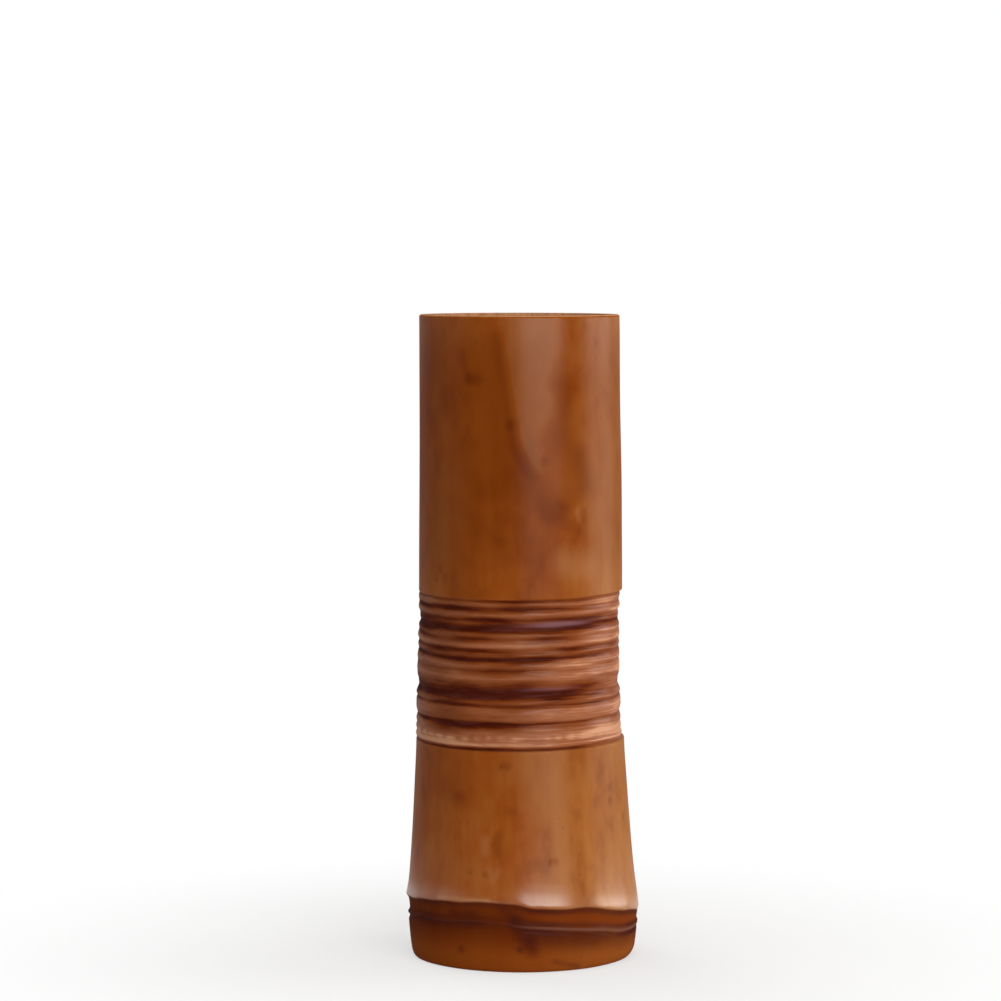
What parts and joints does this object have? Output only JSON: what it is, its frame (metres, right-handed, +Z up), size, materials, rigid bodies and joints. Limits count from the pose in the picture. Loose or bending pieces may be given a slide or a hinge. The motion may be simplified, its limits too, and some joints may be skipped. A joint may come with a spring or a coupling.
{
  "type": "bamboo vase",
  "caption": "Tall round bamboo culm vase with a band of carved rings, a slanting node at its foot and a lift-out water liner hanging in its mouth.",
  "frame": {"origin": "on the table, under the middle of the foot", "axes": "+Z up along the culm, -Y towards the viewer of the front, +X to the viewer's right"},
  "size_m": [0.091, 0.0909, 0.25],
  "materials": {
    "bamboo": "stained brown, oiled and lacquered to a soft gloss",
    "septum_wood": "raw and fibrous",
    "liner_plastic": "moulded, milky, fine satin"
  },
  "bodies": {
    "vase": {"culm": "bamboo", "septum": "septum_wood"},
    "liner": {"water_liner": "liner_plastic"}
  },
  "joints": [
    {"name": "liner_lift", "type": "slide", "parent": "vase", "child": "liner", "axis": [0, 0, 1], "range_m": [0, 0.235]}
  ]
}
